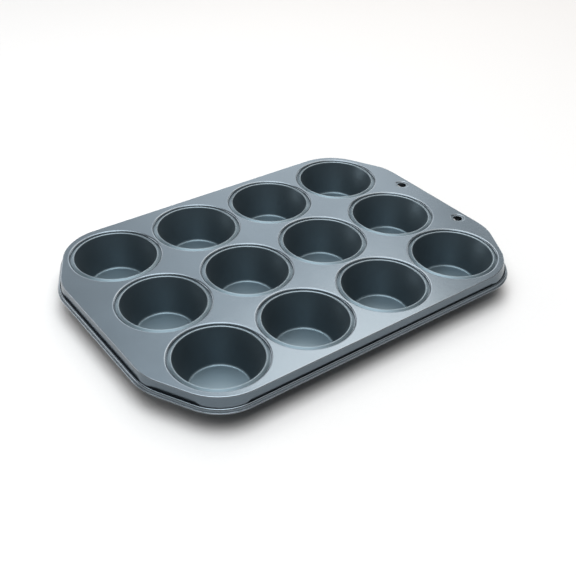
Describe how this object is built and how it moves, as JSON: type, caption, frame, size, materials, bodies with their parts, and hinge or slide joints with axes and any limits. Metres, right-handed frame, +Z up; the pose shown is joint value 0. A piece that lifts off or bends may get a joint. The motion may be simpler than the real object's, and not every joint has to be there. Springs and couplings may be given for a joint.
{
  "type": "muffin tin",
  "caption": "Baking tin of tapered round cups set in a flat pressed sheet with slanting corners, a short skirt, a stepped and hemmed rim and hanging holes.",
  "frame": {"origin": "on the table under the middle of the tin, in the plane of the cups' undersides", "axes": "+X along the long side towards the two hanging holes, +Y along the short side, +Z up out of the cups"},
  "size_m": [0.3674, 0.2624, 0.0314],
  "materials": {
    "coated_sheet": "satin non-stick coating on pressed steel, cool blue-grey",
    "coated_cup": "satin non-stick coating on drawn steel, darker slate blue-grey inside"
  },
  "bodies": {
    "root": {"frame_sheet": "coated_sheet", "cup_r1c1": "coated_cup", "cup_r1c2": "coated_cup", "cup_r1c3": "coated_cup", "cup_r1c4": "coated_cup", "cup_r2c1": "coated_cup", "cup_r2c2": "coated_cup", "cup_r2c3": "coated_cup", "cup_r2c4": "coated_cup", "cup_r3c1": "coated_cup", "cup_r3c2": "coated_cup", "cup_r3c3": "coated_cup", "cup_r3c4": "coated_cup"}
  },
  "joints": []
}
